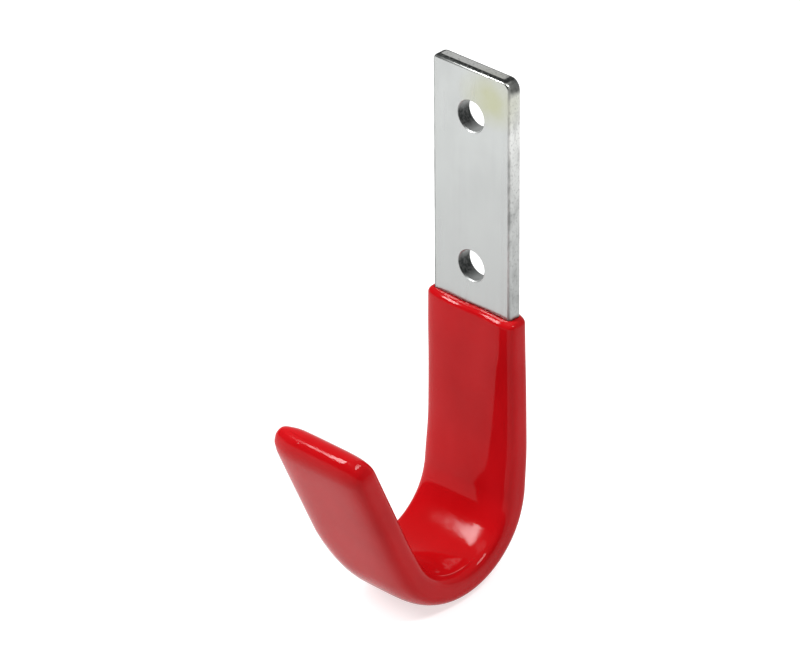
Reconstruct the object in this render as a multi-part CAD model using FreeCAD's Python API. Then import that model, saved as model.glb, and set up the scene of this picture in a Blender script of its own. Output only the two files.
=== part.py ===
"""Garage utility hook: a bent flat steel bar with two screw holes and a dipped vinyl coat.

Millimetres. The origin lies on the back of the plate, midway between the two screw holes.
+Z points up the wall, +Y into the wall, and the hook opens towards -Y.
"""
import FreeCAD, Part
import os

# Flat bar
bar_width = 20.0
bar_thickness = 3.2
bar_edge_radius = 0.7
bar_corner_radius = 1.4

# Screw holes in the plate
hole_diameter = 6.4
hole_spacing = 32.6
hole_rim_break = 0.2

# Lengths along the bar, from its top end to the tip of its arm
hole_to_top = 10.2
hole_to_lip = 8.6
coated_shank = 38.0
bend_inside_radius = 14.4
arm_lean = 24.0
arm_length = 33.2

# Vinyl coat, thin where it was dipped last and thicker towards the tip
coat_at_lip = 1.45
coat_thickness = 1.8
coat_edge_radius = 2.9
coat_tip_corner = 5.4

# The flat back that lies on the wall ends a little above the coat,
# and the bar's edges stay square a little way under it
seat_to_lip = 0.5
lip_to_square = 2.0

# Shares of a wall that a rounding may take up
edge_share = 0.45
lip_share = 0.8

# Places that follow from the sizes
upper_hole_z = hole_spacing / 2
lower_hole_z = -hole_spacing / 2
top_z = upper_hole_z + hole_to_top
lip_z = lower_hole_z - hole_to_lip
seat_z = lip_z + seat_to_lip
square_z = lip_z - lip_to_square
bend_z = lip_z - coated_shank
bar_axis_y = -bar_thickness / 2
bend_axis_y = -bar_thickness - bend_inside_radius
bend_angle = 180.0 - arm_lean

RIGHT = FreeCAD.Vector(1, 0, 0)
BACK = FreeCAD.Vector(0, 1, 0)
UP = FreeCAD.Vector(0, 0, 1)
BEND_AXIS = FreeCAD.Vector(0, bend_axis_y, bend_z)


def outline(skin, radius, height):
    """Level outline of the straight bar with a skin around it and its long edges rounded."""
    width = bar_width + 2 * skin
    thickness = bar_thickness + 2 * skin
    radius = min(radius, edge_share * thickness)
    reach_x = width / 2 - radius
    reach_y = thickness / 2 - radius
    corners = [(reach_x, reach_y), (-reach_x, reach_y), (-reach_x, -reach_y), (reach_x, -reach_y)]
    arcs = []
    for turn, (x, y) in enumerate(corners):
        centre = FreeCAD.Vector(x, bar_axis_y + y, height)
        arcs.append(Part.makeCircle(radius, centre, UP, 90 * turn, 90 * turn + 90))
    edges = []
    for arc, following in zip(arcs, arcs[1:] + arcs[:1]):
        edges.append(arc)
        edges.append(Part.makeLine(arc.lastVertex().Point, following.firstVertex().Point))
    return Part.Wire(edges)


def square_outline(height):
    """Level outline of the bar where its edges are left square under the coat."""
    left, right = -bar_width / 2, bar_width / 2
    corners = [(left, -bar_thickness), (right, -bar_thickness), (right, 0), (left, 0), (left, -bar_thickness)]
    return Part.makePolygon([FreeCAD.Vector(x, y, height) for x, y in corners])


def end_bar(length, skin, corner_radius):
    """Flat bar that starts square at the origin, points up and has its end corners rounded."""
    width = bar_width + 2 * skin
    thickness = bar_thickness + 2 * skin
    bar = Part.makeBox(width, thickness, length, FreeCAD.Vector(-width / 2, -thickness / 2, 0))
    across = [edge for edge in bar.Edges if abs(edge.tangentAt(edge.FirstParameter).dot(BACK)) > 0.5]
    end_corners = [edge for edge in across if edge.CenterOfMass.z > length / 2]
    return bar.makeFillet(corner_radius, end_corners)


def round_rim(bar, radius):
    """Rounds the edges around both broad faces of an end bar, all but those at its start."""
    broad = [face for face in bar.Faces if abs(face.normalAt(0, 0).dot(BACK)) > 0.9
             and isinstance(face.Surface, Part.Plane)]
    rim = [edge for face in broad for edge in face.Edges if edge.CenterOfMass.z > 0]
    return bar.makeFillet(radius, rim)


def plate():
    """Bare upper part of the bar, from the end of the wall seat to the rounded top."""
    bar = round_rim(end_bar(top_z - seat_z, 0.0, bar_corner_radius), bar_edge_radius)
    bar.translate(FreeCAD.Vector(0, bar_axis_y, seat_z))
    return bar


def bend(section):
    """A section turned about the bend's axis."""
    return Part.Face(section).revolve(BEND_AXIS, -RIGHT, bend_angle)


def hang_on_bend(bar):
    """Moves an end bar to the bend's end, so that it rises from there as the arm."""
    start = FreeCAD.Vector(0, bar_axis_y, bend_z)
    bar.translate(start)
    bar.rotate(start, RIGHT, 180)
    bar.rotate(BEND_AXIS, -RIGHT, bend_angle)
    return bar


def screw_hole(height):
    """Round hole through the plate, with its front rim broken by the punch."""
    radius = hole_diameter / 2
    front = FreeCAD.Vector(0, -bar_thickness, height)
    through = Part.makeCylinder(radius, bar_thickness, front, BACK)
    rim = Part.makeCone(radius + hole_rim_break, radius, hole_rim_break, front, BACK)
    return through.fuse(rim)


def steel_hook():
    """Bent bar with its two screw holes."""
    neck = Part.Face(outline(0.0, bar_edge_radius, square_z)).extrude(UP * (seat_z - square_z))
    shank = Part.Face(square_outline(bend_z)).extrude(UP * (square_z - bend_z))
    arm = hang_on_bend(end_bar(arm_length, 0.0, bar_corner_radius))
    bar = plate().multiFuse([neck, shank, bend(square_outline(bend_z)), arm])
    holes = [screw_hole(upper_hole_z), screw_hole(lower_hole_z)]
    return bar.cut(holes).Solids[0]


def vinyl_coating(steel):
    """Skin over the shank, the bend and the arm, with a rolled lip at its top."""
    at_bend = outline(coat_thickness, coat_edge_radius, bend_z)
    at_lip = outline(coat_at_lip, coat_edge_radius, lip_z)
    shank = Part.makeLoft([at_bend, at_lip], True, True)
    lip = [edge for edge in shank.Edges if min(vertex.Z for vertex in edge.Vertexes) > (lip_z + bend_z) / 2]
    shank = shank.makeFillet(lip_share * coat_at_lip, lip)
    arm = end_bar(arm_length + coat_thickness, coat_thickness, coat_tip_corner)
    rim_radius = min(coat_edge_radius, edge_share * (bar_thickness + 2 * coat_thickness))
    arm = hang_on_bend(round_rim(arm, rim_radius))
    return shank.multiFuse([bend(at_bend), arm]).cut(steel).Solids[0]


os.makedirs("parts", exist_ok=True)
hook = steel_hook()
hook.exportStep("parts/steel_hook.step")
vinyl_coating(hook).exportStep("parts/vinyl_coating.step")
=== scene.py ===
"""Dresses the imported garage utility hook: zinc plated bar, dipped vinyl coat and a white studio."""
import math

import bmesh
import bpy
from bpy.props import FloatProperty, FloatVectorProperty, IntProperty, PointerProperty
from mathutils import Matrix, Vector


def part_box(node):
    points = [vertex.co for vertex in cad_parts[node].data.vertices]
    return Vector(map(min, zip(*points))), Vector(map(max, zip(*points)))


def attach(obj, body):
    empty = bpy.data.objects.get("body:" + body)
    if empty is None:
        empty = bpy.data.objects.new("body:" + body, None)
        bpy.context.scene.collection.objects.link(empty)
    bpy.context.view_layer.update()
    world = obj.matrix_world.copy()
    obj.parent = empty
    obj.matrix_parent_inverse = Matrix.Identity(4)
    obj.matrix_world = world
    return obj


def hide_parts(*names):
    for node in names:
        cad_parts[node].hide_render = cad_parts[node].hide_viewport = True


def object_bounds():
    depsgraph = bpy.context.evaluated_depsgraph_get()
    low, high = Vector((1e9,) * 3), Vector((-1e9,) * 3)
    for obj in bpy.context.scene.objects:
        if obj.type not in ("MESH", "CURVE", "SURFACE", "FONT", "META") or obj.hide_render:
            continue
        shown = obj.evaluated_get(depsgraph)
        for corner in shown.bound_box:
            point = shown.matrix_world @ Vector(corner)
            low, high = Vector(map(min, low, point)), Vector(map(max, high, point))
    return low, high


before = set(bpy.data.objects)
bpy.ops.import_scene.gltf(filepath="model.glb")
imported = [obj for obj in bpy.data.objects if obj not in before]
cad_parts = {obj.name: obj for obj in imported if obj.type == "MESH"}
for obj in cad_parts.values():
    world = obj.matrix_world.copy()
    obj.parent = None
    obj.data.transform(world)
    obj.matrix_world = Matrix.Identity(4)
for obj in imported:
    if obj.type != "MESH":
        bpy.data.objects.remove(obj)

bl_info = {
    "name": "Garage Utility Hook",
    "version": (1, 0, 0),
    "blender": (4, 5, 0),
    "location": "View3D > Sidebar > Hook",
    "description": "Finishes a vinyl dipped wall hook and sets up its studio",
    "category": "Object",
}

CAD_BOX = [list(corner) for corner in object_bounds()]
BAR_LOW, BAR_HIGH = [Vector(corner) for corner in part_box("steel_hook")]
COAT_LOW, COAT_HIGH = [Vector(corner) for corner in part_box("vinyl_coating")]

# Fineness of the models
SMOOTH_ANGLE = math.radians(40.0)
ROUND_SWEEP = math.radians(88.0)
SECTION_STEPS = 12
ARM_RUNS = 10
TIP_RINGS = 18
SHANK_RUNS = 16
LIP_RINGS = 8
EDGE_STEPS = 5
BAR_BEND_STEPS = 32
TOP_RINGS = 16
HOLE_SIDES = 72
RIM_STEPS = 6
WELD_DISTANCE = 1e-6

# Share of the coat's half thickness that the rounding of its long edges takes up
EDGE_SHARE = 0.97

# Left end of the tip: distance from the tip and repeats of each smoothing, its factor, and where it stops
TIP_SMOOTHINGS = ((0.0040, 3), (0.0025, 5))
TIP_SMOOTH_FACTOR = 0.5
TIP_SMOOTH_X = -0.0080

# Skin inside the bend: degrees from and to, distances from the bar's middle, share drawn in and reach
INNER_TURNS = ((0.0, 140.0), (15.0, 110.0))
INNER_BAND = (-0.004, -0.0025)
INNER_SHARE = 0.036
INNER_REACH = 0.0120

# Outer edges of the bend: the same, with the share on either side and the distance at which they start
OUTER_TURNS = ((50.0, 155.0), (75.0, 150.0), (95.0, 145.0))
OUTER_BAND = (0.001, 0.004)
OUTER_SHARES = ((-1, 0.010), (1, 0.002))
OUTER_X = 0.009
OUTER_REACH = 0.0070

# Squared front corners of the lip: side, depth below the lip, distance aside, front limit, shift and reach
LIP_CORNERS = (
    (-1, 0.0060, 0.0080, -0.0040, (0.0, -0.00022, 0.0), 0.0120),
    (1, 0.0060, 0.0080, -0.0040, (0.0, -0.00022, 0.0), 0.0120),
    (1, 0.0070, 0.0098, -0.0034, (0.00018, -0.00024, 0.0), 0.0040),
)

# Wandering dip line: place across, whether in front, and rise of each swell, then their common sizes
DIP_SWELLS = (
    (-0.0090, True, 0.00014), (-0.0015, True, -0.00008), (0.0040, True, 0.00008),
    (0.0095, True, -0.00008), (0.0060, False, 0.00020), (-0.0050, False, -0.00018),
)
DIP_DEPTH = 0.0016
DIP_SPAN = 0.0016
DIP_REACH = 0.0045
DIP_MIDDLE_Y = -0.0016

# Soft following of the skin around points that are moved
SOFTLY = {
    "use_proportional_edit": True,
    "use_proportional_connected": True,
    "proportional_edit_falloff": "SMOOTH",
}

# Sheared top: how fast the painted dark reflection along its roll darkens, how much of it stays light, and
# its inset as a share of the roll
ROLL_GAIN = 4
ROLL_OFFSET = 1.4
TOP_INSET = 0.15

# Hole's wall: depths as shares of the bar between which it breaks out, and the share that breaks first
BREAK_FROM = 0.45
BREAK_TO = 0.40
BREAK_FIRST = 0.6
RIM_SLACK = 2e-5
FACE_SLACK = 1e-6

# Stretches of patterns: even, with no regard to depth, and with no regard to height
EVEN = (1.0, 1.0, 1.0)
ANY_DEPTH = (1.0, 0.0, 1.0)
ANY_HEIGHT = (1.0, 1.0, 0.0)

# Vinyl: where it ran together inside the bend, where it lies thickest and gets a painted shade, and the fold
# at its right, with a painted highlight on its crest
POOL_PLACE = (0.0050, -0.0095, -0.0715)
THICK_SHADE_PLACE = (0.0, -0.0140, -0.0735)
FOLD_PLACE = (0.0098, -0.0198, -0.0748)
FOLD_X = 0.00975
FOLD_WIDTH = 0.0003
VINYL_IOR = 1.2

# Steel: heights between which the painted shade towards the coat gives way to the plain tone, the stain, the
# dirt and painted shade over the lip, and the painted shade on the top edge
LOW_TONE_Z = -0.020
PLAIN_TONE_Z = 0.015
STAIN_X = 0.0050
STAIN_Z = 0.0215
DIRT_AND_SHADE_HEIGHT = 0.0008
SHADED_X = -0.008
UNSHADED_X = 0.004

# Lamps: direction from the aim, width and height
KEY_LAMP = ((-0.523, -0.48, 0.70), 0.09, 0.40)
FILL_LAMP = ((-0.520, -0.48, 0.70), 0.115, 0.42)
TOP_LAMP = ((-0.15, -0.35, 0.92), 0.26, 0.26)
SIDE_LAMP = ((0.53, 0.01, 0.85), 0.14, 0.26)
LAMP_DISTANCE = 0.6

# Room and floor
ROOM_FRONT = (0.04, 0.04, 0.04)
ROOM_BACK = (0.60, 0.60, 0.60)
ROOM_ABOVE = (0.55, 0.55, 0.55)
WHITE = (1.0, 1.0, 1.0)
FLOOR_SIZE = 6.0
FLOOR_DARK = (0.50, 0.50, 0.50)
FLOOR_PALE = (0.52, 0.52, 0.52)
FLOOR_NEAR = 0.15
FLOOR_FAR = 0.50
CAMERA_CLIP = 0.01


class HookCoat(bpy.types.PropertyGroup):
    """Sizes of the dipped vinyl coat."""
    thickness: FloatProperty(
        name="Coat thickness", description="Wall of the coat over the bend and the arm",
        default=0.0018, unit="LENGTH")
    at_lip: FloatProperty(
        name="Coat at lip", description="Wall of the coat just below its lip",
        default=0.00145, unit="LENGTH")
    lip_roll: FloatProperty(
        name="Lip roll", description="Rounding of the lip's outer edge", default=0.0013, unit="LENGTH")
    left_corner: FloatProperty(
        name="Left corner", description="Radius of the tip's left corner", default=0.0030, unit="LENGTH")
    right_corner: FloatProperty(
        name="Right corner", description="Radius of the tip's right corner", default=0.0047, unit="LENGTH")
    tip_round: FloatProperty(
        name="Tip round", description="Length over which the arm's outer face slopes to the tip",
        default=0.0090, unit="LENGTH")
    tip_slope: FloatProperty(
        name="Tip slope", description="Share of the half thickness that the slope takes up", default=0.20)
    crown: FloatProperty(
        name="Crown", description="Width over which a broad face curves down to its edge",
        default=0.0100, unit="LENGTH")
    fullness: FloatProperty(
        name="Fullness", description="How square the rounded edges are, 0.5 being round",
        default=0.70, subtype="FACTOR", min=0.0, max=1.0)
    bend_steps: IntProperty(
        name="Bend steps", description="Divisions along the bend", default=48, min=8)


class HookBar(bpy.types.PropertyGroup):
    """Sizes of the flat steel bar."""
    width: FloatProperty(
        name="Width", description="Width of the flat bar", default=BAR_HIGH.x - BAR_LOW.x, unit="LENGTH")
    thickness: FloatProperty(
        name="Thickness", description="Thickness of the flat bar", default=0.0032, unit="LENGTH")
    bend_radius: FloatProperty(
        name="Bend radius", description="Inside radius of the bent bar", default=0.0144, unit="LENGTH")
    arm_lean: FloatProperty(
        name="Arm lean", description="Angle by which the arm leans out from the wall",
        default=math.radians(24.0), subtype="ANGLE")
    arm_length: FloatProperty(
        name="Arm length", description="Straight run of the bar from the bend to its tip",
        default=0.0332, unit="LENGTH")
    edge: FloatProperty(
        name="Edge", description="Rounding of the bar's long edges", default=0.0007, unit="LENGTH")
    left_corner: FloatProperty(
        name="Left corner", description="Radius of the top's left corner", default=0.0014, unit="LENGTH")
    right_corner: FloatProperty(
        name="Right corner", description="Radius of the top's right corner", default=0.0024, unit="LENGTH")
    roll_down: FloatProperty(
        name="Roll down", description="How far the sheared top rolls down over the front",
        default=0.0005, unit="LENGTH")
    roll_over: FloatProperty(
        name="Roll over", description="How far the sheared top rolls in from the front",
        default=0.0010, unit="LENGTH")
    hole: FloatProperty(
        name="Hole", description="Diameter of the screw holes", default=0.0064, unit="LENGTH")
    hole_spacing: FloatProperty(
        name="Hole spacing", description="Distance between the screw holes", default=0.0326, unit="LENGTH")
    hole_roll: FloatProperty(
        name="Hole roll", description="Rounding that the punch left on the holes' front rims",
        default=0.00022, unit="LENGTH")
    hole_break: FloatProperty(
        name="Hole break", description="How far the holes break out wider at the back",
        default=0.00012, unit="LENGTH")


class HookFinish(bpy.types.PropertyGroup):
    """Colours of the two finishes."""
    vinyl: FloatVectorProperty(
        name="Vinyl", description="Colour of the vinyl", default=(0.475, 0.006, 0.009), subtype="COLOR")
    vinyl_deep: FloatVectorProperty(
        name="Deep vinyl", description="Colour of the vinyl's darker clouds",
        default=(0.405, 0.003, 0.005), subtype="COLOR")
    # Painted shade inside the bend, where the vinyl is also thick and deeper red
    vinyl_thick_and_shaded: FloatVectorProperty(
        name="Vinyl thick", description="Deeper red where the vinyl ran together",
        default=(0.355, 0.002, 0.003), subtype="COLOR")
    # Painted highlight along the crest of the fold inside the bend
    vinyl_fold_highlight: FloatVectorProperty(
        name="Vinyl fold", description="Paler red where the vinyl is stretched over a fold",
        default=(0.85, 0.16, 0.16), subtype="COLOR")
    zinc: FloatVectorProperty(
        name="Zinc", description="Colour of the zinc plate", default=(0.495, 0.51, 0.503), subtype="COLOR")
    zinc_dull: FloatVectorProperty(
        name="Dull zinc", description="Colour of the zinc plate's cloudy patches",
        default=(0.455, 0.468, 0.462), subtype="COLOR")
    # Painted sheen on the bar's upper edges and sheared top
    zinc_painted_sheen: FloatVectorProperty(
        name="Bright zinc", description="Colour of the rubbed zinc high on the bar's sides",
        default=(0.78, 0.79, 0.77), subtype="COLOR")
    # Painted shade, darker towards the coat
    zinc_painted_shade: FloatVectorProperty(
        name="Low zinc", description="Colour of the zinc plate towards the coat",
        default=(0.41, 0.42, 0.415), subtype="COLOR")
    stain: FloatVectorProperty(
        name="Stain", description="Straw coloured stain left by the plating",
        default=(0.44, 0.45, 0.32), subtype="COLOR")
    # Dirt and painted shade in the crevice along the coat's lip
    dirt_and_shade: FloatVectorProperty(
        name="Dirt", description="Brown dirt gathered on the steel along the coat's lip",
        default=(0.16, 0.10, 0.09), subtype="COLOR")
    smudge: FloatVectorProperty(
        name="Smudge", description="Grey of the smudges along the bar's edges",
        default=(0.22, 0.225, 0.22), subtype="COLOR")
    # Bare steel of worn specks and nicks, also used for painted shade and dark reflections
    raw_steel_and_shade: FloatVectorProperty(
        name="Raw steel", description="Dark grey of the punched and sheared walls",
        default=(0.04, 0.043, 0.042), subtype="COLOR")


class HookStudio(bpy.types.PropertyGroup):
    """Camera, lamps and floor."""
    azimuth: FloatProperty(
        name="Azimuth", description="Turn of the camera to the right of the hook's front",
        default=math.radians(43.3), subtype="ANGLE")
    elevation: FloatProperty(
        name="Elevation", description="Height of the camera above the level",
        default=math.radians(30.4), subtype="ANGLE")
    roll: FloatProperty(
        name="Roll", description="Turn of the camera about its own view",
        default=math.radians(-0.6), subtype="ANGLE")
    distance: FloatProperty(
        name="Distance", description="Distance from the camera to the hook", default=1.0, unit="LENGTH")
    lens: FloatProperty(
        name="Lens", description="Focal length in millimetres", default=234.0)
    aim: FloatVectorProperty(
        name="Aim", description="Point that the camera looks at",
        default=(-0.0041, -0.0191, -0.02515), subtype="TRANSLATION")
    key_power: FloatProperty(
        name="Key power", description="Watts of the tall soft lamp at the front left", default=2.8)
    fill_power: FloatProperty(
        name="Fill power", description="Watts of the broader lamp around it, which softens its edge",
        default=0.9)
    top_power: FloatProperty(
        name="Top power", description="Watts of the round soft lamp overhead", default=0.3)
    side_power: FloatProperty(
        name="Side power", description="Watts of the small soft lamp at the right", default=2.0)
    floor_glow: FloatProperty(
        name="Floor glow", description="Light that the floor adds of its own", default=0.46)
    floor_white: FloatProperty(
        name="Floor white", description="Floor's own light where the camera sees it", default=0.68)


def open_piece(name, place):
    """Adds a unit square as the start of a piece and opens it for editing."""
    bpy.ops.object.select_all(action="DESELECT")
    bpy.ops.mesh.primitive_plane_add(size=1.0, location=(0.0, 0.0, 0.0))
    piece = bpy.context.object
    piece.name = name
    piece.data.name = name
    bpy.ops.object.mode_set(mode="EDIT")
    pick_all("FACE")
    bpy.ops.transform.translate(value=place)
    return piece


def pick_all(kind):
    """Selects everything of the piece in edit mode as points or as faces."""
    bpy.ops.mesh.select_mode(type=kind)
    bpy.ops.mesh.select_all(action="SELECT")


def pick(piece, kind, wanted):
    """Selects, in edit mode, the points or the faces that pass a test."""
    bpy.ops.mesh.select_mode(type=kind)
    bpy.ops.mesh.select_all(action="DESELECT")
    mesh = bmesh.from_edit_mesh(piece.data)
    for item in mesh.faces if kind == "FACE" else mesh.verts:
        item.select_set(wanted(item))
    mesh.select_flush_mode()
    bmesh.update_edit_mesh(piece.data)


def pick_points(piece, wanted):
    """Selects, in edit mode, the points whose place passes a test."""
    pick(piece, "VERT", lambda point: wanted(point.co))


def face_outward():
    """Turns all faces of the piece in edit mode outward."""
    pick_all("FACE")
    bpy.ops.mesh.normals_make_consistent(inside=False)


def push_section(step, widen, thicken):
    """Pushes the selected end face along Z and resizes it."""
    bpy.ops.mesh.extrude_region_move(TRANSFORM_OT_translate={"value": (0.0, 0.0, step)})
    bpy.ops.transform.resize(value=(widen, thicken, 1.0))


def push_to_sides(step, old, new):
    """Pushes the selected end face along Z and moves its left, right, front and back sides."""
    left, right, front, back = old
    new_left, new_right, new_front, new_back = new
    push_section(step, (new_right - new_left) / (right - left), (new_back - new_front) / (back - front))
    shift_x = (new_left + new_right - left - right) / 2
    shift_y = (new_front + new_back - front - back) / 2
    bpy.ops.transform.translate(value=(shift_x, shift_y, 0.0))


def apply_modifier(piece, kind, **settings):
    """Adds a modifier to the active piece and applies it."""
    modifier = piece.modifiers.new(kind.title(), kind)
    for key, value in settings.items():
        setattr(modifier, key, value)
    bpy.ops.object.modifier_apply(modifier=modifier.name)


def cut_away(context, piece, tool):
    """Cuts a closed tool out of a piece and takes the tool away."""
    tool.select_set(False)
    piece.select_set(True)
    context.view_layer.objects.active = piece
    apply_modifier(piece, "BOOLEAN", object=tool, operation="DIFFERENCE", solver="EXACT")
    bpy.data.objects.remove(tool)


def shape_section(coat, half_width, half_depth):
    """Rounds the starting square into the coat's section, with crowned faces."""
    rounding = EDGE_SHARE * half_depth
    squeeze = rounding / coat.crown
    bpy.ops.transform.resize(value=(2 * half_width * squeeze, 2 * half_depth, 1.0))
    pick_all("VERT")
    bpy.ops.mesh.bevel(offset=rounding, segments=SECTION_STEPS, profile=coat.fullness, affect="VERTICES")
    pick_all("FACE")
    bpy.ops.transform.resize(value=(1 / squeeze, 1.0, 1.0))


def rounded(tall, deep, below):
    """How far an oval rounding has come in at a depth below its top."""
    if below >= tall:
        return 0.0
    return deep * (1 - math.sqrt(1 - (1 - below / tall) ** 2))


def draw_out_arm(coat, length, half_width, half_depth):
    """Draws the section out into the arm and closes it over a blunt tip, to which its outer face slopes."""
    corner = max(coat.left_corner, coat.right_corner)
    rounding = max(corner, coat.tip_round)
    sloped = coat.tip_slope * half_depth
    for _ in range(ARM_RUNS):
        push_section((rounding - length) / ARM_RUNS, 1.0, 1.0)
    sides = (-half_width, half_width, -half_depth, half_depth)
    drawn = 0.0
    for ring in range(1, TIP_RINGS + 1):
        reach = rounding * math.sin(ROUND_SWEEP * ring / TIP_RINGS)
        below = rounding - reach
        left = -half_width + rounded(coat.left_corner, coat.left_corner, below)
        right = half_width - rounded(coat.right_corner, coat.right_corner, below)
        inner = rounded(corner, half_depth, below) - half_depth
        outer = half_depth - rounded(corner, half_depth - sloped, below)
        outer -= rounded(rounding, sloped, below)
        new_sides = (left, right, inner, outer)
        push_to_sides(drawn - reach, sides, new_sides)
        sides, drawn = new_sides, reach


def soften_tip(piece, tip_z):
    """Smooths the left end of the arm's tip into a plain round."""
    for reach, repeats in TIP_SMOOTHINGS:
        pick_points(piece, lambda co: co.z < tip_z + reach and co.x < TIP_SMOOTH_X)
        bpy.ops.mesh.vertices_smooth(factor=TIP_SMOOTH_FACTOR, repeat=repeats)


def bend_to_shank(piece, bar, steps, bend_axis):
    """Turns the arm up about the bend's axis and spins its open end back to the shank."""
    turn = math.pi - bar.arm_lean
    near_axis = bar.bend_radius + bar.thickness

    def is_base(face):
        across = face.calc_center_median() - Vector(bend_axis)
        return len(face.verts) > 4 and math.hypot(across.y, across.z) < near_axis

    pick_all("FACE")
    bpy.ops.transform.rotate(value=turn, orient_axis="X", center_override=bend_axis)
    pick(piece, "FACE", is_base)
    bpy.ops.mesh.spin(steps=steps, angle=-turn, center=bend_axis, axis=(1.0, 0.0, 0.0))


def draw_out_shank(coat, half_width, half_depth, length):
    """Draws the shank up from the bend, thinning to a rolled lip."""
    roll = coat.lip_roll
    width, depth = half_width, half_depth
    for run in range(1, SHANK_RUNS + 1):
        thinned = (coat.thickness - coat.at_lip) * run / SHANK_RUNS
        new_width, new_depth = half_width - thinned, half_depth - thinned
        push_section((length - roll) / SHANK_RUNS, new_width / width, new_depth / depth)
        width, depth = new_width, new_depth
    lip_width, lip_depth = width, depth
    risen = 0.0
    for ring in range(1, LIP_RINGS + 1):
        angle = math.pi / 2 * ring / LIP_RINGS
        rolled = roll * (1 - math.cos(angle))
        new_width, new_depth = lip_width - rolled, lip_depth - rolled
        push_section(roll * math.sin(angle) - risen, new_width / width, new_depth / depth)
        width, depth, risen = new_width, new_depth, roll * math.sin(angle)


def swell(piece, points, shift, reach):
    """Moves chosen points of a piece and lets the skin around them follow softly."""
    pick_points(piece, points)
    bpy.ops.transform.translate(value=shift, proportional_size=reach, **SOFTLY)


def draw_in(piece, points, centre, share, reach):
    """Draws chosen points of a piece towards the bend's axis and lets the skin around them follow softly."""
    pick_points(piece, points)
    nearer = (1.0, 1.0 - share, 1.0 - share)
    bpy.ops.transform.resize(value=nearer, center_override=centre, proportional_size=reach, **SOFTLY)


def settle_bend(piece, middle, bend_axis):
    """Thickens the skin inside the bend, where the vinyl ran together, and thins its outer edges."""
    def around(co, band, start, stop):
        across, down = co.y - bend_axis[1], bend_axis[2] - co.z
        turned = math.degrees(math.atan2(down, across))
        return band[0] < math.hypot(across, down) - middle < band[1] and start < turned < stop

    for start, stop in INNER_TURNS:
        draw_in(piece, lambda co: around(co, INNER_BAND, start, stop), bend_axis, INNER_SHARE, INNER_REACH)
    for start, stop in OUTER_TURNS:
        for side, share in OUTER_SHARES:
            draw_in(piece, lambda co: around(co, OUTER_BAND, start, stop) and co.x * side > OUTER_X,
                    bend_axis, share, OUTER_REACH)


def unsettle_lip(piece, lip_z):
    """Squares the lip's front corners and lets the dip line wander, as where the vinyl was drawn off."""
    for side, down, aside, front, shift, reach in LIP_CORNERS:
        swell(piece, lambda co: co.z > lip_z - down and co.x * side > aside and co.y < front, shift, reach)

    def on_line(co, x, front):
        in_front = co.y < DIP_MIDDLE_Y
        return co.z > lip_z - DIP_DEPTH and abs(co.x - x) < DIP_SPAN and in_front == front

    for x, front, rise in DIP_SWELLS:
        swell(piece, lambda co: on_line(co, x, front), (0.0, 0.0, rise), DIP_REACH)


def find_bend(scene):
    """Axis of the bend, found from the lowest point of the coat."""
    bar, coat = scene.hook_bar, scene.hook_coat
    height = COAT_LOW.z + bar.bend_radius + bar.thickness + coat.thickness
    return (0.0, -bar.thickness - bar.bend_radius, height)


def draw_out_plate(bar, length):
    """Draws the shank up into the plate and rolls its sheared top over, more at the front."""
    corner = max(bar.left_corner, bar.right_corner)
    push_section(length - corner, 1.0, 1.0)
    # The roll attribute carries a painted dark reflection along the rolled edge
    bpy.ops.geometry.attribute_add(name="roll", domain="POINT", data_type="FLOAT")
    half_width, half_depth = bar.width / 2, bar.thickness / 2
    sides = (-half_width, half_width, -half_depth, half_depth)
    risen = 0.0
    for ring in range(1, TOP_RINGS + 1):
        height = corner * math.sin(ROUND_SWEEP * ring / TOP_RINGS)
        below = corner - height
        left = -half_width + rounded(bar.left_corner, bar.left_corner, below)
        right = half_width - rounded(bar.right_corner, bar.right_corner, below)
        front = -half_depth + rounded(bar.roll_down, bar.roll_over, below)
        back = half_depth - rounded(bar.roll_down, bar.roll_down, below)
        new_sides = (left, right, front, back)
        push_to_sides(height - risen, sides, new_sides)
        rolled = ROLL_GAIN * (1 - below / bar.roll_down) - ROLL_OFFSET
        bpy.ops.mesh.attribute_set(value_float=min(max(rolled, 0.0), 1.0))
        sides, risen = new_sides, height
    bpy.ops.mesh.inset(thickness=TOP_INSET * bar.roll_over)
    bpy.ops.mesh.attribute_set(value_float=0.0)


def punch_hole(context, piece, bar, height):
    """Cuts a screw hole with a rolled front rim that breaks out wider at the back."""
    radius = bar.hole / 2
    place, size = -bar.thickness - bar.hole_roll, radius + 2 * bar.hole_roll
    bpy.ops.object.select_all(action="DESELECT")
    bpy.ops.mesh.primitive_circle_add(
        vertices=HOLE_SIDES, radius=size, fill_type="NGON", location=(0.0, place, height),
        rotation=(math.pi / 2, 0.0, 0.0))
    punch = context.object
    bpy.ops.object.mode_set(mode="EDIT")
    pick_all("FACE")
    rim = [(-bar.thickness, radius + bar.hole_roll)]
    for step in range(1, RIM_STEPS + 1):
        angle = math.pi / 2 * step / RIM_STEPS
        rim.append((-bar.thickness + bar.hole_roll * math.sin(angle),
                    radius + bar.hole_roll * (1 - math.cos(math.pi / 2 - angle))))
    rim.append((-BREAK_FROM * bar.thickness, radius))
    rim.append((-BREAK_TO * bar.thickness, radius + BREAK_FIRST * bar.hole_break))
    rim.append((bar.hole_roll, radius + bar.hole_break))
    for new_place, new_size in rim:
        bpy.ops.mesh.extrude_region_move(TRANSFORM_OT_translate={"value": (0.0, new_place - place, 0.0)})
        bpy.ops.transform.resize(value=(new_size / size, 1.0, new_size / size))
        place, size = new_place, new_size
    face_outward()
    bpy.ops.object.mode_set(mode="OBJECT")
    cut_away(context, piece, punch)


def crease_rims(piece, bar):
    """Marks the holes' front rims sharp, so that the plate around them is shaded flat."""
    rim = bar.hole / 2 + bar.hole_roll

    def on_rim(co):
        across = math.hypot(co.x, abs(co.z) - bar.hole_spacing / 2)
        return co.y < FACE_SLACK - bar.thickness and abs(across - rim) < RIM_SLACK

    bpy.ops.object.mode_set(mode="EDIT")
    pick_points(piece, on_rim)
    bpy.ops.mesh.mark_sharp()
    bpy.ops.object.mode_set(mode="OBJECT")


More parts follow.
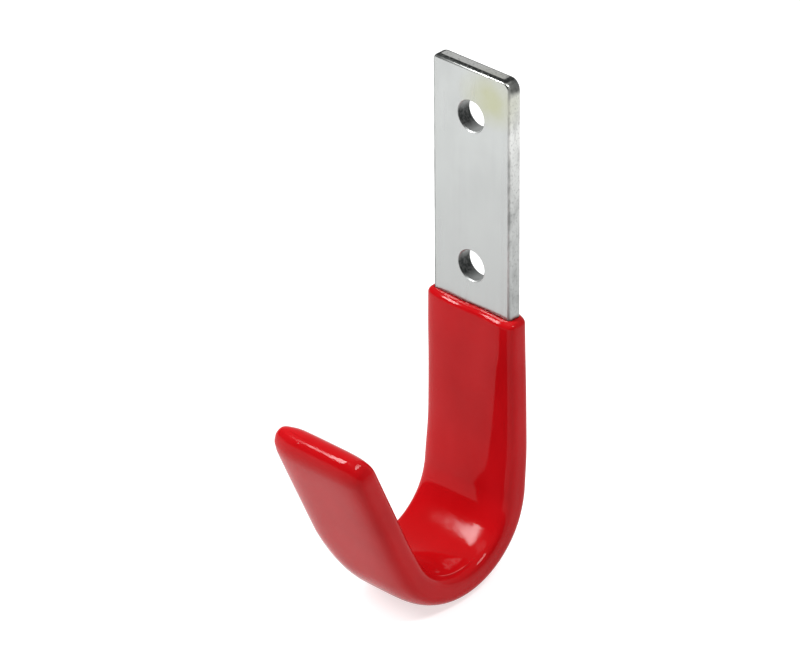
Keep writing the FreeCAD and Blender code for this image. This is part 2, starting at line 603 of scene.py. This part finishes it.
def cut_bar_out(context, piece):
    """Cuts the steel bar's room out of a piece."""
    bpy.ops.object.select_all(action="DESELECT")
    node = bpy.data.objects["steel_hook"]
    node.select_set(True)
    context.view_layer.objects.active = node
    bpy.ops.object.duplicate()
    bar = context.object
    bpy.ops.object.mode_set(mode="EDIT")
    pick_all("VERT")
    bpy.ops.mesh.remove_doubles(threshold=WELD_DISTANCE)
    bpy.ops.object.mode_set(mode="OBJECT")
    cut_away(context, piece, bar)


def new_material(name):
    """Makes an empty node material and returns it with its tree and shader."""
    material = bpy.data.materials.new(name)
    material.use_nodes = True
    tree = material.node_tree
    return material, tree, tree.nodes["Principled BSDF"]


def add(tree, kind, values=None, **settings):
    """Adds a shader node, setting its fields and the values of its sockets."""
    node = tree.nodes.new(kind)
    for key, value in settings.items():
        setattr(node, key, value)
    for key, value in (values or {}).items():
        node.inputs[key].default_value = value
    return node


def stretched_noise(tree, scale, stretch, detail=2.0):
    """Noise in the piece's own coordinates, stretched along chosen axes."""
    place = add(tree, "ShaderNodeTexCoord")
    mapping = add(tree, "ShaderNodeMapping", {"Scale": stretch})
    noise = add(tree, "ShaderNodeTexNoise", {"Scale": scale, "Detail": detail})
    tree.links.new(place.outputs["Object"], mapping.inputs["Vector"])
    tree.links.new(mapping.outputs["Vector"], noise.inputs["Vector"])
    return noise.outputs["Fac"]


def mix_colours(tree, factor, low, high):
    """Blends two colours, or a socket and a colour, by a factor."""
    mix = add(tree, "ShaderNodeMix", data_type="RGBA")
    tree.links.new(factor, mix.inputs["Factor"])
    for socket, value in ((mix.inputs[6], low), (mix.inputs[7], high)):
        if isinstance(value, bpy.types.NodeSocket):
            tree.links.new(value, socket)
        else:
            socket.default_value = (*value, 1.0)
    return mix.outputs[2]


def remap(tree, value, low, high, to_low, to_high):
    """Maps a value's range onto another range."""
    node = add(tree, "ShaderNodeMapRange", {1: low, 2: high, 3: to_low, 4: to_high})
    tree.links.new(value, node.inputs[0])
    return node.outputs[0]


def add_bump(tree, height, distance, strength, below=None):
    """Turns a height into a bumped normal, over another bump if one is given."""
    bump = add(tree, "ShaderNodeBump", {"Strength": strength, "Distance": distance})
    tree.links.new(height, bump.inputs["Height"])
    if below:
        tree.links.new(below, bump.inputs["Normal"])
    return bump.outputs["Normal"]


def near(tree, centre, squash, inner, outer):
    """Mask that is one near a point and fades to nothing, in the piece's own coordinates."""
    offset = [-along * factor for along, factor in zip(centre, squash)]
    place = add(tree, "ShaderNodeTexCoord")
    shift = add(tree, "ShaderNodeMapping", {"Location": offset, "Scale": squash})
    length = add(tree, "ShaderNodeVectorMath", operation="LENGTH")
    tree.links.new(place.outputs["Object"], shift.inputs["Vector"])
    tree.links.new(shift.outputs["Vector"], length.inputs[0])
    return remap(tree, length.outputs["Value"], inner, outer, 1.0, 0.0)


def combine(tree, operation, first, second):
    """Joins two values, or a value and a number, by a math operation."""
    node = add(tree, "ShaderNodeMath", operation=operation)
    for socket, value in zip(node.inputs, (first, second)):
        if isinstance(value, bpy.types.NodeSocket):
            tree.links.new(value, socket)
        else:
            socket.default_value = value
    return node.outputs[0]


def multiply(tree, first, second):
    """Product of two values, or of a value and a number."""
    return combine(tree, "MULTIPLY", first, second)


def distance_from(tree, value, middle):
    """How far a value lies from a number, to either side."""
    return combine(tree, "ABSOLUTE", combine(tree, "SUBTRACT", value, middle), 0.0)


def coordinate(tree, axis):
    """One of the piece's own coordinates."""
    place = add(tree, "ShaderNodeTexCoord")
    split = add(tree, "ShaderNodeSeparateXYZ")
    tree.links.new(place.outputs["Object"], split.inputs[0])
    return split.outputs[axis]


def vinyl_material(finish):
    """Glossy dipped vinyl, a little wavy, with small nibs, and wrinkles and a fold inside the bend, with
    painted shade deep in the bend and a painted highlight along the fold.
    """
    material, tree, shader = new_material("Red vinyl")
    clouds = stretched_noise(tree, 90.0, (1.0, 1.0, 0.6))
    waves = stretched_noise(tree, 170.0, (1.0, 1.0, 0.5), 1.0)
    nibs = stretched_noise(tree, 1400.0, EVEN, 0.0)
    wrinkles = stretched_noise(tree, 900.0, (0.25, 1.0, 1.0))
    pool = near(tree, POOL_PLACE, (0.5, 1.0, 1.0), 0.003, 0.007)
    thick_and_shade = near(tree, THICK_SHADE_PLACE, (0.6, 1.0, 1.0), 0.005, 0.012)
    crest = remap(tree, distance_from(tree, coordinate(tree, "X"), FOLD_X), 0.0, FOLD_WIDTH, 1.0, 0.0)
    fold_and_highlight = multiply(tree, crest, near(tree, FOLD_PLACE, EVEN, 0.003, 0.0065))

    colour = mix_colours(tree, remap(tree, clouds, 0.3, 0.7, 0.0, 1.0), finish.vinyl_deep, finish.vinyl)
    # Painted shade deep inside the bend, over the deeper red of the thick vinyl
    colour = mix_colours(tree, multiply(tree, thick_and_shade, 0.7), colour, finish.vinyl_thick_and_shaded)
    # Painted highlight along the fold's crest; the same mask also bumps the fold
    colour = mix_colours(tree, remap(tree, fold_and_highlight, 0.5, 1.0, 0.0, 0.5), colour, finish.vinyl_fold_highlight)
    tree.links.new(colour, shader.inputs["Base Color"])

    cloudy = remap(tree, clouds, 0.3, 0.7, 0.06, 0.10)
    rough = combine(tree, "ADD", cloudy, multiply(tree, pool, 0.03))
    tree.links.new(rough, shader.inputs["Roughness"])

    normal = add_bump(tree, waves, 0.00006, 0.5)
    normal = add_bump(tree, multiply(tree, wrinkles, pool), 0.00006, 0.6, normal)
    normal = add_bump(tree, fold_and_highlight, 0.0002, 0.8, normal)
    normal = add_bump(tree, remap(tree, nibs, 0.80, 0.95, 0.0, 1.0), 0.00005, 0.6, normal)
    tree.links.new(normal, shader.inputs["Normal"])
    shader.inputs["IOR"].default_value = VINYL_IOR
    return material


def zinc_material(bar, finish):
    """Satin zinc plate with clouds, faint drawn streaks, a straw coloured stain and gritty worn edges, with
    a painted sheen on its upper edges and painted shade and dark reflections.
    """
    material, tree, shader = new_material("Zinc plated steel")
    clouds = stretched_noise(tree, 160.0, (1.0, 1.0, 0.7), 4.0)
    streaks = stretched_noise(tree, 900.0, (1.0, 1.0, 0.03), 3.0)
    grain = stretched_noise(tree, 5200.0, EVEN)
    grit = stretched_noise(tree, 1900.0, (1.0, 1.0, 0.8), 4.0)
    smudges = stretched_noise(tree, 420.0, (1.0, 1.0, 0.5), 3.0)
    across, depth, height = [coordinate(tree, axis) for axis in "XYZ"]
    outward = combine(tree, "ABSOLUTE", across, 0.0)
    corner = bar.width / 2 - bar.edge
    side = remap(tree, outward, corner + 0.2 * bar.edge, corner + 0.7 * bar.edge, 0.0, 1.0)
    sheared = remap(tree, height, BAR_HIGH.z - bar.roll_down, BAR_HIGH.z - 0.5 * bar.roll_down, 0.0, 1.0)
    edges = combine(tree, "MAXIMUM", side, sheared)
    upper = remap(tree, height, LOW_TONE_Z, PLAIN_TONE_Z, 0.0, 1.0)

    # Cloudy plate with a painted sheen on its upper edges and sheared top, painted shade darker towards the
    # coat, and a stain
    colour = mix_colours(tree, remap(tree, clouds, 0.35, 0.68, 0.0, 1.0), finish.zinc, finish.zinc_dull)
    # Painted sheen, strongest high up on the edges
    painted_sheen = multiply(tree, edges, upper)
    colour = mix_colours(tree, painted_sheen, colour, finish.zinc_painted_sheen)
    # Painted shade, growing towards the coat
    shade = multiply(tree, combine(tree, "SUBTRACT", 1.0, upper), 0.7)
    colour = mix_colours(tree, shade, colour, finish.zinc_painted_shade)
    stain = near(tree, (STAIN_X, -bar.thickness, STAIN_Z), (0.7, 1.0, 0.9), 0.0015, 0.0060)
    patchy = remap(tree, clouds, 0.3, 0.6, 0.5, 1.0)
    colour = mix_colours(tree, multiply(tree, stain, patchy), colour, finish.stain)

    # Smudges, specks and nicks along the edges, and dirt with painted shade over the lip
    specks = remap(tree, grit, 0.52, 0.68, 0.0, 1.0)
    worn = multiply(tree, edges, 0.30)
    smudged = multiply(tree, side, remap(tree, smudges, 0.48, 0.72, 0.0, 0.5))
    colour = mix_colours(tree, smudged, colour, finish.smudge)
    colour = mix_colours(tree, multiply(tree, worn, specks), colour, finish.raw_steel_and_shade)
    off_line = distance_from(tree, outward, corner + 0.4 * bar.edge)
    line = remap(tree, off_line, 0.2 * bar.edge, 0.5 * bar.edge, 1.0, 0.0)
    nicked = multiply(tree, line, remap(tree, smudges, 0.40, 0.66, 0.02, 0.45))
    colour = mix_colours(tree, nicked, colour, finish.raw_steel_and_shade)
    # Dirt and painted shade where the steel meets the coat's lip
    over_lip = remap(tree, height, COAT_HIGH.z, COAT_HIGH.z + DIRT_AND_SHADE_HEIGHT, 1.0, 0.0)
    dirt_and_shade = multiply(tree, over_lip, remap(tree, grit, 0.30, 0.60, 0.4, 1.0))
    colour = mix_colours(tree, dirt_and_shade, colour, finish.dirt_and_shade)

    # Sheared top, with a painted dark reflection along its roll, painted shade at the front left and a
    # darker right corner
    # Painted dark reflection along the rolled edge, in the colour of bare steel
    roll = add(tree, "ShaderNodeAttribute", attribute_name="roll").outputs["Fac"]
    rolled = multiply(tree, roll, remap(tree, grit, 0.30, 0.50, 0.75, 1.0))
    colour = mix_colours(tree, rolled, colour, finish.raw_steel_and_shade)
    # Painted shade over the front left of the top edge, covering its highlight
    top_edge = remap(tree, height, BAR_HIGH.z - 1.3 * bar.roll_down, BAR_HIGH.z - bar.roll_down, 0.0, 1.0)
    front = -bar.thickness
    front_edge = remap(tree, depth, 0.4 * bar.roll_over + front, 0.8 * bar.roll_over + front, 1.0, 0.0)
    leftward = remap(tree, across, SHADED_X, UNSHADED_X, 0.85, 0.0)
    shaded = multiply(tree, multiply(tree, top_edge, front_edge), leftward)
    colour = mix_colours(tree, shaded, colour, finish.raw_steel_and_shade)
    # Darker at the top's right corner, behind the front face
    behind = remap(tree, depth, 0.1 * bar.edge + front, 0.7 * bar.edge + front, 0.0, 1.0)
    corner_patch = near(tree, (bar.width / 2, 0.0, BAR_HIGH.z), ANY_DEPTH, 0.8 * bar.right_corner,
                  1.3 * bar.right_corner)
    uneven = remap(tree, smudges, 0.35, 0.60, 0.95, 0.55)
    corner_darkening = multiply(tree, multiply(tree, behind, corner_patch), uneven)
    colour = mix_colours(tree, corner_darkening, colour, finish.raw_steel_and_shade)

    # Walls of the holes with painted shade, darkest at their lower left
    wall = bar.hole / 2 + bar.hole_break
    low = bar.hole / 4
    heights = (bar.hole_spacing / 2, -bar.hole_spacing / 2)
    holes = combine(tree, "MAXIMUM", *[
        near(tree, (0.0, 0.0, z), ANY_DEPTH, wall, wall + bar.hole_roll) for z in heights])
    # Painted shade inside the holes, strongest at their lower left
    darker = combine(tree, "MAXIMUM", *[
        near(tree, (-1.3 * low, 0.0, z - 0.6 * low), ANY_DEPTH, 0.9 * low, 1.9 * low) for z in heights])
    gritty = remap(tree, grit, 0.35, 0.60, 0.8, 1.0)
    wall_shade = multiply(tree, gritty, remap(tree, darker, 0.0, 1.0, 0.08, 1.0))
    colour = mix_colours(tree, multiply(tree, holes, wall_shade), colour, finish.raw_steel_and_shade)
    tree.links.new(colour, shader.inputs["Base Color"])

    # Roughness and relief
    coarse = multiply(tree, combine(tree, "MAXIMUM", worn, holes), 0.3)
    coarse = combine(tree, "MAXIMUM", coarse, multiply(tree, line, 0.3))
    coarse = combine(tree, "MAXIMUM", coarse, multiply(tree, shaded, 0.6))
    rough = combine(tree, "ADD", remap(tree, streaks, 0.3, 0.7, 0.20, 0.28), coarse)
    tree.links.new(rough, shader.inputs["Roughness"])
    fine = add_bump(tree, grain, 0.00002, 0.35)
    fine = add_bump(tree, multiply(tree, grit, worn), 0.0002, 0.5, fine)
    tree.links.new(add_bump(tree, streaks, 0.00004, 0.3, fine), shader.inputs["Normal"])
    shader.inputs["Metallic"].default_value = 1.0
    return material


class HOOK_OT_steel_bar(bpy.types.Operator):
    """Models the bent bar with its rolled top and punched holes"""
    bl_idname = "hook.steel_bar"
    bl_label = "Steel Bar"

    def execute(self, context):
        bar = context.scene.hook_bar
        bend_axis = find_bend(context.scene)
        bend_z = bend_axis[2]
        piece = open_piece("plated_bar", (0.0, -bar.thickness / 2, bend_z))
        bpy.ops.transform.resize(value=(bar.width, bar.thickness, 1.0))
        pick_all("VERT")
        bpy.ops.mesh.bevel(offset=bar.edge, segments=EDGE_STEPS, affect="VERTICES")
        pick_all("FACE")
        push_section(-bar.arm_length, 1.0, 1.0)
        bend_to_shank(piece, bar, BAR_BEND_STEPS, bend_axis)
        draw_out_plate(bar, BAR_HIGH.z - bend_z)
        face_outward()
        bpy.ops.object.mode_set(mode="OBJECT")
        for height in (bar.hole_spacing / 2, -bar.hole_spacing / 2):
            punch_hole(context, piece, bar, height)
        bpy.ops.object.shade_smooth_by_angle(angle=SMOOTH_ANGLE)
        crease_rims(piece, bar)
        apply_modifier(piece, "WEIGHTED_NORMAL", keep_sharp=True)
        piece.data.materials.clear()
        piece.data.materials.append(zinc_material(bar, context.scene.hook_finish))
        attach(piece, "root")
        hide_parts("steel_hook")
        return {"FINISHED"}


class HOOK_OT_vinyl_coat(bpy.types.Operator):
    """Models the dipped coat over the shank, the bend and the arm"""
    bl_idname = "hook.vinyl_coat"
    bl_label = "Vinyl Coat"

    def execute(self, context):
        bar, coat = context.scene.hook_bar, context.scene.hook_coat
        half_width = bar.width / 2 + coat.thickness
        half_depth = bar.thickness / 2 + coat.thickness
        bend_axis = find_bend(context.scene)
        bend_z = bend_axis[2]
        piece = open_piece("dipped_coat", (0.0, -bar.thickness / 2, bend_z))
        shape_section(coat, half_width, half_depth)
        draw_out_arm(coat, bar.arm_length + coat.thickness, half_width, half_depth)
        soften_tip(piece, bend_z - bar.arm_length - coat.thickness)
        bend_to_shank(piece, bar, coat.bend_steps, bend_axis)
        draw_out_shank(coat, half_width, half_depth, COAT_HIGH.z - bend_z)
        face_outward()
        settle_bend(piece, bar.bend_radius + bar.thickness / 2, bend_axis)
        unsettle_lip(piece, COAT_HIGH.z)
        bpy.ops.object.mode_set(mode="OBJECT")
        apply_modifier(piece, "SUBSURF", levels=1, render_levels=1)
        cut_bar_out(context, piece)
        bpy.ops.object.shade_smooth_by_angle(angle=SMOOTH_ANGLE)
        piece.data.materials.clear()
        piece.data.materials.append(vinyl_material(context.scene.hook_finish))
        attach(piece, "root")
        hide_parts("vinyl_coating")
        return {"FINISHED"}


def add_lamp(name, direction, width, height, power, aim):
    """Adds a soft lamp that faces the aim from a direction."""
    away = Vector(direction).normalized()
    upright = Vector((0.0, away.z, -away.y)).normalized()
    turn = Matrix((upright.cross(away), upright, away)).transposed().to_euler()
    bpy.ops.object.light_add(type="AREA", location=aim + away * LAMP_DISTANCE, rotation=turn)
    lamp = bpy.context.object
    lamp.name = name
    lamp.data.shape = "ELLIPSE"
    lamp.data.size = width
    lamp.data.size_y = height
    lamp.data.energy = power


def floor_material(studio):
    """Pale floor with a glow of its own, which keeps the shadow faint."""
    material, tree, shader = new_material("Studio floor")
    mottled = mix_colours(tree, stretched_noise(tree, 3.0, EVEN), FLOOR_DARK, FLOOR_PALE)
    tree.links.new(mottled, shader.inputs["Base Color"])
    path = add(tree, "ShaderNodeLightPath")
    around = near(tree, (0.0, 0.0, 0.0), ANY_HEIGHT, FLOOR_NEAR, FLOOR_FAR)
    seen = remap(tree, around, 0.0, 1.0, 1.0, studio.floor_white)
    extra = combine(tree, "SUBTRACT", seen, studio.floor_glow)
    extra = multiply(tree, extra, path.outputs["Is Camera Ray"])
    tree.links.new(combine(tree, "ADD", extra, studio.floor_glow), shader.inputs["Emission Strength"])
    shader.inputs["Emission Color"].default_value = (*WHITE, 1.0)
    shader.inputs["Roughness"].default_value = 0.9
    shader.inputs["Specular IOR Level"].default_value = 0.0
    return material


def light_world(scene):
    """Grey room that is darker at its front, and white to the camera."""
    world = bpy.data.worlds.new("Studio room")
    scene.world = world
    world.use_nodes = True
    tree = world.node_tree
    background = tree.nodes["Background"]
    path = add(tree, "ShaderNodeLightPath")
    place = add(tree, "ShaderNodeTexCoord")
    split = add(tree, "ShaderNodeSeparateXYZ")
    tree.links.new(place.outputs["Generated"], split.inputs[0])
    back = remap(tree, split.outputs["Y"], -0.2, 0.8, 0.0, 1.0)
    above = remap(tree, split.outputs["Z"], 0.45, 0.95, 0.0, 1.0)
    room = mix_colours(tree, back, ROOM_FRONT, ROOM_BACK)
    room = mix_colours(tree, above, room, ROOM_ABOVE)
    seen = mix_colours(tree, path.outputs["Is Camera Ray"], room, WHITE)
    tree.links.new(seen, background.inputs["Color"])


class HOOK_OT_stage(bpy.types.Operator):
    """Adds the floor, the lamps, the room and the camera"""
    bl_idname = "hook.stage"
    bl_label = "Stage"

    def execute(self, context):
        studio = context.scene.hook_studio
        aim = Vector(studio.aim)
        bpy.ops.object.select_all(action="DESELECT")
        bpy.ops.mesh.primitive_plane_add(size=FLOOR_SIZE, location=(0.0, 0.0, CAD_BOX[0][2]))
        floor = context.object
        floor.name = "studio_floor"
        floor.data.materials.append(floor_material(studio))
        add_lamp("key_lamp", *KEY_LAMP, studio.key_power, aim)
        add_lamp("fill_lamp", *FILL_LAMP, studio.fill_power, aim)
        add_lamp("top_lamp", *TOP_LAMP, studio.top_power, aim)
        add_lamp("side_lamp", *SIDE_LAMP, studio.side_power, aim)
        light_world(context.scene)
        turn, rise = studio.azimuth, studio.elevation
        back = Vector((math.sin(turn) * math.cos(rise), -math.cos(turn) * math.cos(rise), math.sin(rise)))
        place = aim + back * studio.distance
        facing = Matrix.Rotation(turn, 3, "Z") @ Matrix.Rotation(math.pi / 2 - rise, 3, "X")
        facing = facing @ Matrix.Rotation(studio.roll, 3, "Z")
        bpy.ops.object.camera_add(location=place, rotation=facing.to_euler())
        camera = context.object
        camera.data.lens = studio.lens
        camera.data.clip_start = CAMERA_CLIP
        context.scene.camera = camera
        context.scene.view_settings.view_transform = "Standard"
        return {"FINISHED"}


class HOOK_PT_sidebar(bpy.types.Panel):
    """Sizes, finishes and studio of the hook"""
    bl_idname = "HOOK_PT_sidebar"
    bl_label = "Garage Utility Hook"
    bl_space_type = "VIEW_3D"
    bl_region_type = "UI"
    bl_category = "Hook"

    def draw(self, context):
        layout = self.layout
        scene = context.scene
        for group in (scene.hook_bar, scene.hook_coat, scene.hook_finish, scene.hook_studio):
            for name in group.__annotations__:
                layout.prop(group, name)
        for operator in (HOOK_OT_vinyl_coat, HOOK_OT_steel_bar, HOOK_OT_stage):
            layout.operator(operator.bl_idname)


CLASSES = (HookBar, HookCoat, HookFinish, HookStudio, HOOK_OT_vinyl_coat, HOOK_OT_steel_bar, HOOK_OT_stage,
           HOOK_PT_sidebar)


def register():
    """Registers the classes and hangs their settings on the scene."""
    for entry in CLASSES:
        bpy.utils.register_class(entry)
    bpy.types.Scene.hook_bar = PointerProperty(type=HookBar)
    bpy.types.Scene.hook_coat = PointerProperty(type=HookCoat)
    bpy.types.Scene.hook_finish = PointerProperty(type=HookFinish)
    bpy.types.Scene.hook_studio = PointerProperty(type=HookStudio)


def unregister():
    """Takes the settings and the classes away again."""
    del bpy.types.Scene.hook_studio
    del bpy.types.Scene.hook_finish
    del bpy.types.Scene.hook_coat
    del bpy.types.Scene.hook_bar
    for entry in reversed(CLASSES):
        bpy.utils.unregister_class(entry)


def main():
    """Finishes the hook and sets the stage."""
    register()
    bpy.ops.hook.vinyl_coat()
    bpy.ops.hook.steel_bar()
    bpy.ops.hook.stage()


if __name__ == "__main__":
    main()
